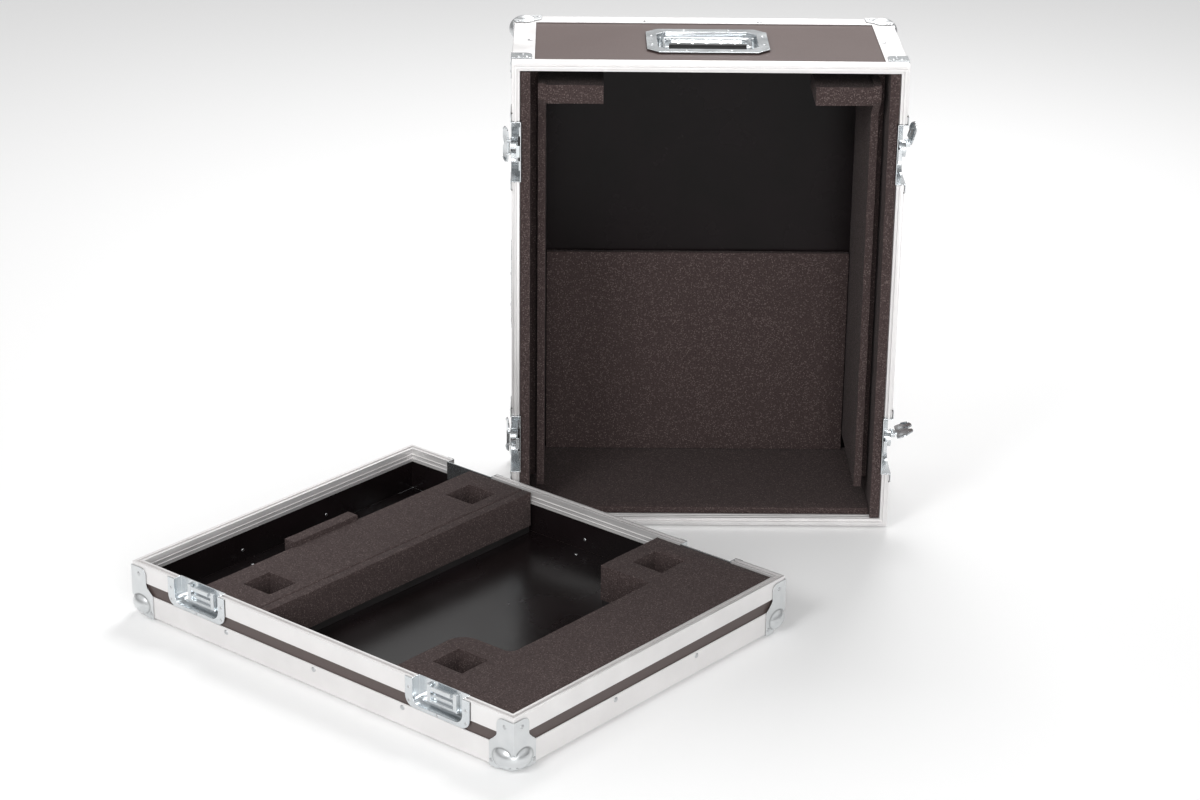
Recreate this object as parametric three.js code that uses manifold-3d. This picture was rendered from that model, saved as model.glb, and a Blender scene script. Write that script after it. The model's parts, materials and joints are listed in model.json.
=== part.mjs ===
// A two-part transport case for stage equipment: a shallow tray and a deep cover that lifts off it.
// The case is laid out open. The tray lies flat and the cover stands on one end behind it.
// The tray's centre is given from the cover's front left corner.
// Units are millimetres and +Z is up. The model's origin is the middle of the floor it stands on.
import * as THREE from 'three';
import { mergeVertices } from 'three/addons/utils/BufferGeometryUtils.js';
import Module from 'manifold-3d';

const wasm = await Module();
wasm.setup();

// Driving dimensions.
const caseWidth = 520;
const caseLength = 656;
const coverDepth = 250;
const trayDepth = 70;
const boardThickness = 7;
const metalThickness = 1.5;
const pressedSheet = 1.2;
const fitGap = 0.3;
const edgeLeg = 30;
const trayYawDegrees = -40.7;
const trayCentre = { x: -63.4, y: -292.3 };

const rimWidth = 10.6;
const rimOuterLeg = 25;
const rimInnerLeg = 20;
const rimTongue = 4;
const rimWeb = 2;
const rimRidge = 0.8;

const ballRadius = 14;
const ballReach = 4.8;
const cornerPlate = 38;
const cornerLegWidth = 26;

const latchFromEnd = 120;
const dishWidth = 104;
const dishMouth = 80;
const dishDepth = 11.3;
const catchHeight = 39;
const latchHeight = 65;
const dishBorder = 5;
const hubRadius = 11;
const hubFromRim = 32;
const hubFoot = -8.8;
const hubTop = 2;
const hingeOffset = 8;
const hingeHeight = 5;
const wingHalfLength = 23;
const wingWidth = 28;
const wingSheet = 1.6;
const hookTravel = 8;

const handleLength = 164;
const handleWidth = 120;
const bowlLength = 134;
const bowlWidth = 88;
const bowlDepth = 12;
const gripRadius = 6;
const gripLength = 106;
const bailArm = 46;
const topHandleFromFront = 122;

const liningThickness = 15.3;
const liningSlot = 10;
const slotDepth = 60;
const liningInner = 10;
const padThickness = 10;
const backPadTop = -8;
const foamTop = trayDepth - 2;

// Places worked out from the driving dimensions.
const halfWidth = caseWidth / 2;
const halfLength = caseLength / 2;
const boardOutside = metalThickness + fitGap;
const boardInside = boardOutside + boardThickness;
const wallHead = rimTongue + rimWeb + fitGap;
const latchY = halfLength - latchFromEnd;
const notchHalf = dishMouth / 2 + pressedSheet + fitGap;
const cavityHalfWidth = halfWidth - boardInside;
const cavityHalfLength = halfLength - boardInside;

const colours = {
  board: { color: 0x4a3c3a, roughness: 0.35, metalness: 0 },
  aluminium: { color: 0xd9d9dc, roughness: 0.35, metalness: 0.9 },
  zinc: { color: 0xc9d0d6, roughness: 0.25, metalness: 1 },
  foam: { color: 0x453a39, roughness: 1, metalness: 0 },
  rubber: { color: 0x101010, roughness: 0.6, metalness: 0 },
};

// ---- small helpers ----

function boxBetween(low, high) {
  const geometry = new THREE.BoxGeometry(high[0] - low[0], high[1] - low[1], high[2] - low[2]);
  geometry.translate((low[0] + high[0]) / 2, (low[1] + high[1]) / 2, (low[2] + high[2]) / 2);
  return geometry;
}

function plate(shape, low, high) {
  const settings = { depth: high - low, bevelEnabled: false, curveSegments: 5 };
  const geometry = new THREE.ExtrudeGeometry(shape, settings);
  geometry.translate(0, 0, low);
  return geometry;
}

function rodAlongX(radius, low, high, y, z, sides) {
  const geometry = new THREE.CylinderGeometry(radius, radius, high - low, sides);
  geometry.rotateZ(Math.PI / 2);
  geometry.translate((low + high) / 2, y, z);
  return geometry;
}

function toSolid(geometry) {
  const bare = geometry.clone();
  bare.deleteAttribute('normal');
  bare.deleteAttribute('uv');
  const merged = mergeVertices(bare, 1e-4);
  return new wasm.Manifold(new wasm.Mesh({
    numProp: 3,
    vertProperties: new Float32Array(merged.attributes.position.array),
    triVerts: new Uint32Array(merged.index.array),
  }));
}

function toGeometry(solid) {
  const mesh = solid.getMesh();
  const geometry = new THREE.BufferGeometry();
  const places = new Float32Array(mesh.vertProperties);
  geometry.setAttribute('position', new THREE.BufferAttribute(places, 3));
  geometry.setIndex(new THREE.BufferAttribute(new Uint32Array(mesh.triVerts), 1));
  geometry.computeVertexNormals();
  return geometry;
}

function join(geometries) {
  let solid = toSolid(geometries[0]);
  for (const geometry of geometries.slice(1)) solid = solid.add(toSolid(geometry));
  return toGeometry(solid);
}

function cut(geometry, cutters) {
  let solid = toSolid(geometry);
  for (const cutter of cutters) solid = solid.subtract(toSolid(cutter));
  return toGeometry(solid);
}

function addMesh(group, name, geometry, finish) {
  const mesh = new THREE.Mesh(geometry, new THREE.MeshStandardMaterial(colours[finish]));
  mesh.name = name;
  group.add(mesh);
  return mesh;
}

// A frame whose x, y and z run along the three given directions.
function frameAt(origin, along, up, outward) {
  const group = new THREE.Group();
  const basis = new THREE.Matrix4().makeBasis(
    new THREE.Vector3(...along), new THREE.Vector3(...up), new THREE.Vector3(...outward));
  group.setRotationFromMatrix(basis);
  group.position.set(...origin);
  group.updateMatrix();
  return group;
}

function intoParent(geometry, group) {
  return geometry.clone().applyMatrix4(group.matrix);
}

// A U-shaped outline that is open at the top, with rounded lower corners.
function dishOutline(halfX, top, bottom, radius) {
  const shape = new THREE.Shape();
  shape.moveTo(-halfX, top);
  shape.lineTo(-halfX, bottom + radius);
  shape.absarc(-halfX + radius, bottom + radius, radius, Math.PI, 1.5 * Math.PI, false);
  shape.lineTo(halfX - radius, bottom);
  shape.absarc(halfX - radius, bottom + radius, radius, 1.5 * Math.PI, 2 * Math.PI, false);
  shape.lineTo(halfX, top);
  return shape;
}

function chamferedOutline(halfX, halfY, chamfer) {
  const shape = new THREE.Shape();
  shape.moveTo(-halfX + chamfer, -halfY);
  shape.lineTo(halfX - chamfer, -halfY);
  shape.lineTo(halfX, -halfY + chamfer);
  shape.lineTo(halfX, halfY - chamfer);
  shape.lineTo(halfX - chamfer, halfY);
  shape.lineTo(-halfX + chamfer, halfY);
  shape.lineTo(-halfX, halfY - chamfer);
  shape.lineTo(-halfX, -halfY + chamfer);
  return shape;
}

// ---- aluminium edging ----

// The closing edge's section: x is the distance inwards from the case's outer face,
// y is the height above the rim's top. The tray has a groove and the cover has a tongue.
function rimSection(hasTongue) {
  const crown = hasTongue
    ? [[0, -rimTongue], [3.7, -rimTongue], [3.7, 0], [6.9, 0], [6.9, -rimTongue], [rimWidth, -rimTongue]]
    : [[0, 0], [3.3, 0], [3.3, -rimTongue], [7.3, -rimTongue], [7.3, 0], [rimWidth, 0]];
  const ridges = [];
  for (const height of [-8, -14]) {
    ridges.push([rimWidth, height], [rimWidth + rimRidge, height - 0.5]);
    ridges.push([rimWidth + rimRidge, height - 1.5], [rimWidth, height - 2]);
  }
  const inside = rimWidth - metalThickness;
  const below = -rimTongue - rimWeb;
  const legs = [
    [rimWidth, -rimInnerLeg], [inside, -rimInnerLeg], [inside, below],
    [metalThickness, below], [metalThickness, -rimOuterLeg], [0, -rimOuterLeg],
  ];
  return new THREE.Shape([...crown, ...ridges, ...legs].map(([x, y]) => new THREE.Vector2(x, y)));
}

// Carries the section along straight runs with mitred corners. The inside of the case is on the left.
function mitredRun(section, corners, rimTop) {
  const spans = corners.length - 1;
  const settings = { depth: spans, steps: spans, bevelEnabled: false };
  const geometry = new THREE.ExtrudeGeometry(section, settings);
  const points = corners.map(([x, y]) => new THREE.Vector2(x, y));
  const inward = [];
  for (let i = 0; i < spans; i += 1) {
    const run = points[i + 1].clone().sub(points[i]).normalize();
    inward.push(new THREE.Vector2(-run.y, run.x));
  }
  const mitres = points.map((_, i) => {
    if (i === 0) return inward[0];
    if (i === spans) return inward[spans - 1];
    return inward[i - 1].clone().add(inward[i]);
  });
  const place = geometry.attributes.position;
  for (let i = 0; i < place.count; i += 1) {
    const at = Math.round(place.getZ(i));
    const depth = place.getX(i);
    const height = place.getY(i);
    const x = points[at].x + depth * mitres[at].x;
    const y = points[at].y + depth * mitres[at].y;
    place.setXYZ(i, x, y, rimTop + height);
  }
  return geometry;
}

function addRim(group, half, rimTop, hasTongue) {
  const section = rimSection(hasTongue);
  const w = halfWidth;
  const l = halfLength;
  const outerEnd = latchY + notchHalf;
  const innerEnd = latchY - notchHalf;
  const runs = {
    [`${half}_rim_end_high`]: [[w, outerEnd], [w, l], [-w, l], [-w, outerEnd]],
    [`${half}_rim_end_low`]: [[-w, -outerEnd], [-w, -l], [w, -l], [w, -outerEnd]],
    [`${half}_rim_side_right`]: [[w, -innerEnd], [w, innerEnd]],
    [`${half}_rim_side_left`]: [[-w, innerEnd], [-w, -innerEnd]],
  };
  for (const [name, corners] of Object.entries(runs)) {
    addMesh(group, name, mitredRun(section, corners, rimTop), 'aluminium');
  }
}

// Four corner extrusions round the closed face, joined at their mitres and cut away under the ball corners.
function edgeFrame() {
  const w = halfWidth;
  const l = halfLength;
  const t = metalThickness;
  const inside = boxBetween([-w + t, -l + t, t], [w - t, l - t, edgeLeg + 1]);
  const window = boxBetween([-w + edgeLeg, -l + edgeLeg, -1], [w - edgeLeg, l - edgeLeg, t + 1]);
  const openings = atCorners(cube(-1, boardInside));
  return cut(boxBetween([-w, -l, 0], [w, l, edgeLeg]), [inside, window, ...openings]);
}

function cornerAngle(signX, signY) {
  const t = metalThickness;
  const outline = [[0, 0], [edgeLeg, 0], [edgeLeg, t], [t, t], [t, edgeLeg], [0, edgeLeg]];
  const points = outline.map(([x, y]) => {
    return new THREE.Vector2(signX * (halfWidth - x), signY * (halfLength - y));
  });
  return plate(new THREE.Shape(points), edgeLeg - 1, coverDepth - rimOuterLeg - fitGap);
}

// The cover also has an extrusion up each of its four corners, as far as the rim.
function coverEdging() {
  const angles = [[-1, -1], [1, -1], [1, 1], [-1, 1]].map(([x, y]) => cornerAngle(x, y));
  return join([edgeFrame(), ...angles]);
}

// ---- ball corners ----

function cube(low, high) {
  return boxBetween([low, low, low], [high, high, high]);
}

// Built in a frame whose origin is the case's outer corner and whose axes run inwards along its edges.
// The ball also fills the small cube that is cut from the case's tip.
function ballCorner(sideOutline, faceOutline) {
  const outside = -fitGap;
  const skin = outside - pressedSheet;
  const centre = ballRadius - ballReach;
  const ball = new THREE.SphereGeometry(ballRadius, 20, 12);
  ball.translate(centre, centre, centre);
  const caseCorner = cut(cube(outside, 90), [cube(-1, boardInside - fitGap)]);
  const shell = cut(ball, [caseCorner]);
  const onX = plate(sideOutline(skin), skin, outside);
  onX.applyMatrix4(new THREE.Matrix4().makeBasis(
    new THREE.Vector3(0, 1, 0), new THREE.Vector3(0, 0, 1), new THREE.Vector3(1, 0, 0)));
  const onY = plate(sideOutline(skin), -outside, -skin);
  onY.rotateX(Math.PI / 2);
  const onZ = plate(faceOutline(skin), skin, outside);
  const plates = cut(join([onX, onY, onZ]), [cube(skin - 1, 6.5)]);
  return join([shell, plates]);
}

// Sets a piece that was built in the first corner's frame at each of a half's four corners.
function cornerPlaces() {
  const signs = [[-1, -1], [1, -1], [1, 1], [-1, 1]];
  return signs.map(([x, y], turn) => ({ x: x * halfWidth, y: y * halfLength, turn: turn * Math.PI / 2 }));
}

function atCorners(geometry) {
  return cornerPlaces().map(({ x, y, turn }) => {
    const copy = geometry.clone();
    copy.rotateZ(turn);
    copy.translate(x, y, 0);
    return copy;
  });
}

// The tray's corner has a narrow leg that climbs to the rim.
function trayCornerSide(start) {
  const top = trayDepth - 4;
  const shape = new THREE.Shape();
  shape.moveTo(start, start);
  shape.lineTo(cornerPlate, start);
  shape.lineTo(cornerPlate, 31);
  shape.lineTo(cornerLegWidth, 42);
  shape.lineTo(cornerLegWidth, top - 10);
  shape.absarc(cornerLegWidth - 10, top - 10, 10, 0, Math.PI / 2, false);
  shape.lineTo(start, top);
  return shape;
}

// The cover's corner has three even plates with a cut tip.
function evenCornerSide(start) {
  const cutBack = 12;
  const shape = new THREE.Shape();
  shape.moveTo(start, start);
  shape.lineTo(cornerPlate, start);
  shape.lineTo(cornerPlate, edgeLeg - cutBack);
  shape.lineTo(edgeLeg - cutBack, cornerPlate);
  shape.lineTo(start, cornerPlate);
  return shape;
}

function addBallCorners(group, half, sideOutline) {
  const names = ['left_low', 'right_low', 'right_high', 'left_high'];
  cornerPlaces().forEach(({ x, y, turn }, i) => {
    const corner = ballCorner(sideOutline, evenCornerSide);
    const mesh = addMesh(group, `${half}_ball_corner_${names[i]}`, corner, 'zinc');
    mesh.position.set(x, y, 0);
    mesh.rotation.z = turn;
  });
}

// ---- recessed dishes ----

// x runs along the rim, y up towards it from the rim's top, z out of the case.
function pressedDish(height, radius) {
  const inner = dishOutline(dishMouth / 2, 1, dishBorder - height, radius);
  const outer = dishOutline(dishMouth / 2 + pressedSheet, -fitGap, dishBorder - height - pressedSheet, radius + 1);
  const flange = dishOutline(dishWidth / 2, -fitGap, -height, radius + 2);
  return {
    body: [plate(flange, fitGap, fitGap + pressedSheet), plate(outer, -dishDepth - pressedSheet, fitGap + 0.5)],
    hollow: plate(inner, -dishDepth, 3),
  };
}

function catchDish() {
  const dish = pressedDish(catchHeight, 12);
  const shell = cut(join(dish.body), [dish.hollow]);
  const shelf = boxBetween([-16, -10.6, -dishDepth - 0.5], [16, -9.2, -3.5]);
  const lip = boxBetween([-16, -10.6, -5], [16, -5, -3.5]);
  return join([shell, shelf, lip]);
}

function latchDish() {
  const dish = pressedDish(latchHeight, 16);
  const shell = cut(join(dish.body), [dish.hollow]);
  const base = boxBetween([-16, -48, -dishDepth - 0.5], [16, -20, hubFoot - fitGap]);
  return join([shell, base]);
}

// The part of the walls that a dish passes through.
function dishCutter(height) {
  return boxBetween([-notchHalf, dishBorder - height - pressedSheet - fitGap, -40], [notchHalf, 10, 10]);
}

// ---- butterfly latch ----

// Both pieces are built round the hub's axis, with the hinge line at y = hingeOffset.
function latchHub() {
  const barrel = new THREE.CylinderGeometry(hubRadius, hubRadius, hubTop - hubFoot, 20);
  barrel.rotateX(Math.PI / 2);
  barrel.translate(0, 0, (hubTop + hubFoot) / 2);
  const lugs = [-1, 1].map((side) => {
    const low = Math.min(side * 8, side * 10.4);
    return boxBetween([low, hingeOffset - 2.5, hubTop - 1], [low + 2.4, hingeOffset + 2.3, hingeHeight + 2.2]);
  });
  return join([barrel, ...lugs]);
}

// Two rounded leaves with a waist between them. The hinge line is the x axis.
function latchWing() {
  const clear = 3.8;
  const shape = new THREE.Shape();
  shape.moveTo(-7.6, 0);
  shape.lineTo(-7.6, -clear);
  shape.lineTo(-wingHalfLength + 5, -clear);
  shape.quadraticCurveTo(-wingHalfLength, -clear, -wingHalfLength, -clear - 6);
  shape.lineTo(-wingHalfLength + 2, -wingWidth + 7);
  shape.quadraticCurveTo(-wingHalfLength + 5, -wingWidth, -wingHalfLength + 11, -wingWidth);
  shape.quadraticCurveTo(-5, -wingWidth + 1, 0, -wingWidth + 8);
  shape.quadraticCurveTo(5, -wingWidth + 1, wingHalfLength - 11, -wingWidth);
  shape.quadraticCurveTo(wingHalfLength - 5, -wingWidth, wingHalfLength - 2, -wingWidth + 7);
  shape.lineTo(wingHalfLength, -clear - 6);
  shape.quadraticCurveTo(wingHalfLength, -clear, wingHalfLength - 5, -clear);
  shape.lineTo(7.6, -clear);
  shape.lineTo(7.6, 0);
  const leaves = plate(shape, -wingSheet / 2, wingSheet / 2);
  return join([leaves, rodAlongX(2.2, -7.6, 7.6, 0, 0, 10)]);
}

function latchHook() {
  const tongue = boxBetween([-8, -20.5, -8.3], [8, -3, -5.8]);
  const claw = boxBetween([-8, -5, -10.8], [8, -3, -8]);
  return join([tongue, claw]);
}

function addLatch(group, name, face, rest) {
  const slot = new THREE.Group();
  slot.position.copy(face.position);
  slot.quaternion.copy(face.quaternion);
  group.add(slot);
  addMesh(slot, `${name}_dish`, latchDish(), 'zinc');
  const hook = addMesh(slot, `${name}_hook`, latchHook(), 'zinc');
  hook.position.y = hookTravel * Math.abs(rest.hubDegrees) / 180;
  const spindle = new THREE.Group();
  spindle.position.set(0, -hubFromRim, 0);
  spindle.rotation.z = THREE.MathUtils.degToRad(rest.hubDegrees);
  slot.add(spindle);
  addMesh(spindle, `${name}_hub`, latchHub(), 'zinc');
  const wing = addMesh(spindle, `${name}_wing`, latchWing(), 'zinc');
  wing.position.set(0, hingeOffset, hingeHeight);
  wing.rotation.x = -THREE.MathUtils.degToRad(rest.foldDegrees);
}

// ---- recessed spring handle ----

// x runs along the grip, y towards the hinge, z out of the case.
function handleDish() {
  const flange = chamferedOutline(handleLength / 2, handleWidth / 2, 16);
  const outer = chamferedOutline(bowlLength / 2 + pressedSheet, bowlWidth / 2 + pressedSheet, 12);
  const inner = chamferedOutline(bowlLength / 2, bowlWidth / 2, 12);
  const pressed = join([
    plate(flange, fitGap, fitGap + pressedSheet), plate(outer, -bowlDepth - pressedSheet, fitGap + 0.5)]);
  const shell = cut(pressed, [plate(inner, -bowlDepth, 3)]);
  const springCover = boxBetween([-48, 10, -bowlDepth - 0.5], [48, 36, -8.2]);
  const lugs = [-1, 1].map((side) => {
    const low = Math.min(side * 60.4, side * 64);
    return boxBetween([low, 25, -bowlDepth - 0.5], [low + 3.6, 33, -2]);
  });
  return join([shell, springCover, ...lugs]);
}

function handleCutter() {
  const around = pressedSheet + fitGap;
  return boxBetween(
    [-bowlLength / 2 - around, -bowlWidth / 2 - around, -bowlDepth - around],
    [bowlLength / 2 + around, bowlWidth / 2 + around, 10]);
}

// The bail: a hinge rod, two arms and a rubber-covered grip. The hinge line is the x axis.
function handleBail() {
  const end = 60;
  const arms = [-1, 1].map((side) => {
    const low = Math.min(side * 56.5, side * end);
    return boxBetween([low, -bailArm - 2, -2], [low + end - 56.5, 2.5, 2]);
  });
  return join([
    rodAlongX(2.5, -end, end, 0, 0, 10),
    rodAlongX(gripRadius, -gripLength / 2, gripLength / 2, -bailArm, 0, 16),
    rodAlongX(2.6, -end, end, -bailArm, 0, 10),
    ...arms,
  ]);
}

function addHandle(group, name, face) {
  const seat = new THREE.Group();
  seat.position.copy(face.position);
  seat.quaternion.copy(face.quaternion);
  group.add(seat);
  addMesh(seat, `${name}_dish`, handleDish(), 'zinc');
  const bail = addMesh(seat, `${name}_grip`, handleBail(), 'rubber');
  bail.position.set(0, 30, -5);
}

// ---- boards ----

function addBoards(group, half, depth, cutters) {
  const w = halfWidth - boardOutside;
  const l = halfLength - boardOutside;
  const top = depth - wallHead;
  const foot = boardInside + fitGap;
  const face = half === 'tray' ? 'tray_floor' : 'cover_back';
  const tips = atCorners(cube(-1, boardInside));
  addMesh(group, face, cut(boxBetween([-w, -l, boardOutside], [w, l, boardInside]), tips), 'board');
  for (const [side, sign] of [['left', -1], ['right', 1]]) {
    const inner = sign * cavityHalfWidth;
    const outer = sign * w;
    const wall = boxBetween([Math.min(inner, outer), -l, foot], [Math.max(inner, outer), l, top]);
    addMesh(group, `${half}_wall_${side}`, cut(wall, cutters[side]), 'board');
  }
  const inset = cavityHalfWidth - fitGap;
  for (const [end, sign] of [['low', -1], ['high', 1]]) {
    const inner = sign * cavityHalfLength;
    const outer = sign * l;
    const wall = boxBetween([-inset, Math.min(inner, outer), foot], [inset, Math.max(inner, outer), top]);
    addMesh(group, `${half}_wall_${end}`, cut(wall, cutters[end]), 'board');
  }
}

// ---- faces that the fittings sit on ----

function latchFaces(depth) {
  const faces = {};
  for (const [side, sign] of [['left', -1], ['right', 1]]) {
    for (const [level, y] of [['lower', -latchY], ['upper', latchY]]) {
      faces[`${side}_${level}`] = frameAt([sign * halfWidth, y, depth], [0, sign, 0], [0, 0, 1], [sign, 0, 0]);
    }
  }
  return faces;
}

function handleFaces() {
  const sideZ = coverDepth / 2;
  return {
    top: frameAt([0, halfLength, coverDepth - topHandleFromFront], [1, 0, 0], [0, 0, -1], [0, 1, 0]),
    left: frameAt([-halfWidth, 0, sideZ], [0, 0, 1], [0, 1, 0], [-1, 0, 0]),
    right: frameAt([halfWidth, 0, sideZ], [0, 0, -1], [0, 1, 0], [1, 0, 0]),
  };
}

// ---- foam ----

function addTrayFoam(group) {
  const floor = boardInside + fitGap;
  const reach = halfWidth - 13.2;
  const pocket = (y, x) => boxBetween([x - 23, y - 24, 20], [x + 23, y + 24, foamTop + 1]);
  const nearPocket = 188;
  const barLow = -206;
  const barHigh = -93;
  const bar = boxBetween([-reach, barLow, floor], [reach, barHigh, foamTop]);
  const fin = boxBetween([-26, barLow - 16.5, floor], [91, barLow + 1, foamTop + 7]);
  const pocketRow = -150;
  addMesh(group, 'tray_foam_bar', cut(join([bar, fin]), [
    pocket(pocketRow, nearPocket), pocket(pocketRow, -nearPocket)]), 'foam');

  const main = 210;
  const lobe = 129;
  const lobeDepth = 115;
  const edge = halfLength - 13.2;
  const block = new THREE.Shape();
  block.moveTo(reach, edge);
  block.lineTo(-reach, edge);
  block.lineTo(-reach, lobe);
  block.lineTo(-reach + lobeDepth, lobe);
  block.lineTo(-reach + lobeDepth, main);
  block.lineTo(reach - lobeDepth - 12, main);
  block.absarc(reach - lobeDepth - 12, main - 12, 12, Math.PI / 2, 0, true);
  block.lineTo(reach - lobeDepth, lobe + 26);
  block.absarc(reach - lobeDepth + 26, lobe + 26, 26, Math.PI, 1.5 * Math.PI, false);
  block.lineTo(reach, lobe);
  const blockRow = 178;
  addMesh(group, 'tray_foam_block', cut(plate(block, floor, foamTop), [
    pocket(blockRow, nearPocket), pocket(blockRow, -nearPocket)]), 'foam');
}

function coverLining(sign, cutters) {
  const outer = cavityHalfWidth - fitGap;
  const face = outer - liningThickness;
  const slotFace = face - liningSlot;
  const innerFace = slotFace - liningInner;
  const low = boardInside + fitGap;
  const long = cavityHalfLength - fitGap;
  const span = (a, b, y0, y1, z0, z1) => {
    return boxBetween([Math.min(sign * a, sign * b), y0, z0], [Math.max(sign * a, sign * b), y1, z1]);
  };
  const innerLow = -285;
  const innerHigh = 297;
  const front = coverDepth - 18;
  const pieces = join([
    span(face, outer, -long, long, low, coverDepth - 5),
    span(slotFace - 1, face + 1, innerLow, innerHigh, low, front - slotDepth),
    span(innerFace, slotFace, innerLow, innerHigh, low, front),
    span(innerFace - 76, innerFace + 1, 270, 295, front - 90, front),
  ]);
  const rimFoot = coverDepth - rimInnerLeg - fitGap;
  const clear = rimWidth + rimRidge + fitGap;
  const endClear = halfLength - clear;
  const rimRelief = [
    span(halfWidth - clear, outer + 5, -long - 5, long + 5, rimFoot, coverDepth + 5),
    span(0, outer + 5, endClear, long + 5, rimFoot, coverDepth + 5),
    span(0, outer + 5, -long - 5, -endClear, rimFoot, coverDepth + 5),
  ];
  return cut(pieces, [...rimRelief, ...cutters]);
}

function addCoverFoam(group, latches, handles) {
  const deeper = 0.6;
  const grown = (geometry, face) => {
    const cutter = geometry.clone();
    cutter.translate(0, 0, -deeper);
    return intoParent(cutter, face);
  };
  for (const [side, sign] of [['left', -1], ['right', 1]]) {
    const bowl = boxBetween(
      [-notchHalf, -latchHeight + dishBorder - 2, -dishDepth - pressedSheet], [notchHalf, 10, 10]);
    const cutters = ['upper', 'lower'].map((level) => grown(bowl, latches[`${side}_${level}`]));
    cutters.push(grown(handleCutter(), handles[side]));
    addMesh(group, `cover_foam_${side}`, coverLining(sign, cutters), 'foam');
  }
  const low = boardInside + fitGap;
  const between = cavityHalfWidth - fitGap - liningThickness - fitGap;
  const floorTop = -cavityHalfLength + fitGap + padThickness;
  const backHalf = 214.5;
  addMesh(group, 'cover_foam_bottom', boxBetween(
    [-between, -cavityHalfLength + fitGap, low], [between, floorTop, coverDepth - rimInnerLeg - 1]), 'foam');
  addMesh(group, 'cover_foam_back', boxBetween(
    [-backHalf, floorTop + fitGap, low], [backHalf, backPadTop, low + padThickness]), 'foam');
}

// ---- the two halves ----

function makeTray() {
  const tray = new THREE.Group();
  const catches = latchFaces(trayDepth);
  const notch = dishCutter(catchHeight);
  const cutters = {
    left: [intoParent(notch, catches.left_lower), intoParent(notch, catches.left_upper)],
    right: [intoParent(notch, catches.right_lower), intoParent(notch, catches.right_upper)],
    low: [],
    high: [],
  };
  addBoards(tray, 'tray', trayDepth, cutters);
  addRim(tray, 'tray', trayDepth, false);
  addMesh(tray, 'tray_edge_frame', edgeFrame(), 'aluminium');
  addBallCorners(tray, 'tray', trayCornerSide);
  for (const [place, face] of Object.entries(catches)) {
    const slot = new THREE.Group();
    slot.position.copy(face.position);
    slot.quaternion.copy(face.quaternion);
    tray.add(slot);
    addMesh(slot, `tray_catch_${place}`, catchDish(), 'zinc');
  }
  addTrayFoam(tray);
  return tray;
}

const latchRest = {
  left_upper: { hubDegrees: 0, foldDegrees: 14 },
  left_lower: { hubDegrees: 0, foldDegrees: 4 },
  right_upper: { hubDegrees: -90, foldDegrees: 160 },
  right_lower: { hubDegrees: -90, foldDegrees: 108 },
};

function makeCover() {
  const cover = new THREE.Group();
  const latches = latchFaces(coverDepth);
  const handles = handleFaces();
  const notch = dishCutter(latchHeight);
  const sideCutters = (side) => [
    intoParent(notch, latches[`${side}_lower`]),
    intoParent(notch, latches[`${side}_upper`]),
    intoParent(handleCutter(), handles[side]),
  ];
  const cutters = {
    left: sideCutters('left'),
    right: sideCutters('right'),
    low: [],
    high: [intoParent(handleCutter(), handles.top)],
  };
  addBoards(cover, 'cover', coverDepth, cutters);
  addRim(cover, 'cover', coverDepth, true);
  addMesh(cover, 'cover_edge_frame', coverEdging(), 'aluminium');
  addBallCorners(cover, 'cover', evenCornerSide);
  for (const [place, face] of Object.entries(latches)) {
    addLatch(cover, `latch_${place}`, face, latchRest[place]);
  }
  for (const [place, face] of Object.entries(handles)) addHandle(cover, `handle_${place}`, face);
  addCoverFoam(cover, latches, handles);
  return cover;
}

// ---- the open layout ----

const transportCase = new THREE.Group();
const tray = makeTray();
tray.position.set(trayCentre.x, trayCentre.y, ballReach);
tray.rotation.z = THREE.MathUtils.degToRad(trayYawDegrees - 90);
transportCase.add(tray);

const cover = makeCover();
cover.position.set(halfWidth, coverDepth, halfLength + ballReach);
cover.rotation.x = Math.PI / 2;
transportCase.add(cover);

// The origin is put under the middle of the whole layout.
transportCase.updateMatrixWorld(true);
const extent = new THREE.Box3().setFromObject(transportCase, true);
transportCase.position.x = -(extent.min.x + extent.max.x) / 2;
transportCase.position.y = -(extent.min.y + extent.max.y) / 2;
transportCase.position.z = -extent.min.z;

export default transportCase;
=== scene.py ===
# An open two-part transport case: foam-fitted tray in front, deep cover standing on its end behind it.
# Each half has its own frame: x across the case, y along it, z from the closed face to the opening.
import bmesh
import bpy
import json
import math
import numpy as np
from mathutils import Matrix, Vector


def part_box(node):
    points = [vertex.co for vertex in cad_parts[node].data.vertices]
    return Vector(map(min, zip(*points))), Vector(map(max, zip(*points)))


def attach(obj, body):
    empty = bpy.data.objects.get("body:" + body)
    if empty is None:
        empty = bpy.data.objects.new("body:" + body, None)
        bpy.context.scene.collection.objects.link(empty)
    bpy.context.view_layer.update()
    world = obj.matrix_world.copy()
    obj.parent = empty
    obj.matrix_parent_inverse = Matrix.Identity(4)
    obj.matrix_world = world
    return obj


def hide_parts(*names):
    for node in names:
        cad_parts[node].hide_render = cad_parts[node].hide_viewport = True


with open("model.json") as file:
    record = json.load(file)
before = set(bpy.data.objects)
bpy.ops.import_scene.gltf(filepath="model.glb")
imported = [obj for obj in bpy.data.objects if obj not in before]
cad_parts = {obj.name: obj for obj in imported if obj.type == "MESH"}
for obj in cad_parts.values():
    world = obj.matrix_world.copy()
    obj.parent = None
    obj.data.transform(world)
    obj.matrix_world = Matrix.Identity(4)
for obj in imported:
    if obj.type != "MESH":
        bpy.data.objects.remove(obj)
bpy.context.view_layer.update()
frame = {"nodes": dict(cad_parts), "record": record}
nodes = frame["nodes"]
bodyOf = {node: body for body, members in frame["record"]["behaviour"]["bodies"].items() for node in members}
mm = 0.001

# ---- the two halves' frames ----


def axesMatrix(origin, along, up, outward):
    # the three directions are the columns, and the origin is the last one
    matrix = np.eye(4)
    matrix[:3, 0] = along
    matrix[:3, 1] = up
    matrix[:3, 2] = outward
    matrix[:3, 3] = origin
    return matrix


def moved(points, matrix):
    return np.asarray(points, float) @ matrix[:3, :3].T + matrix[:3, 3]


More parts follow.
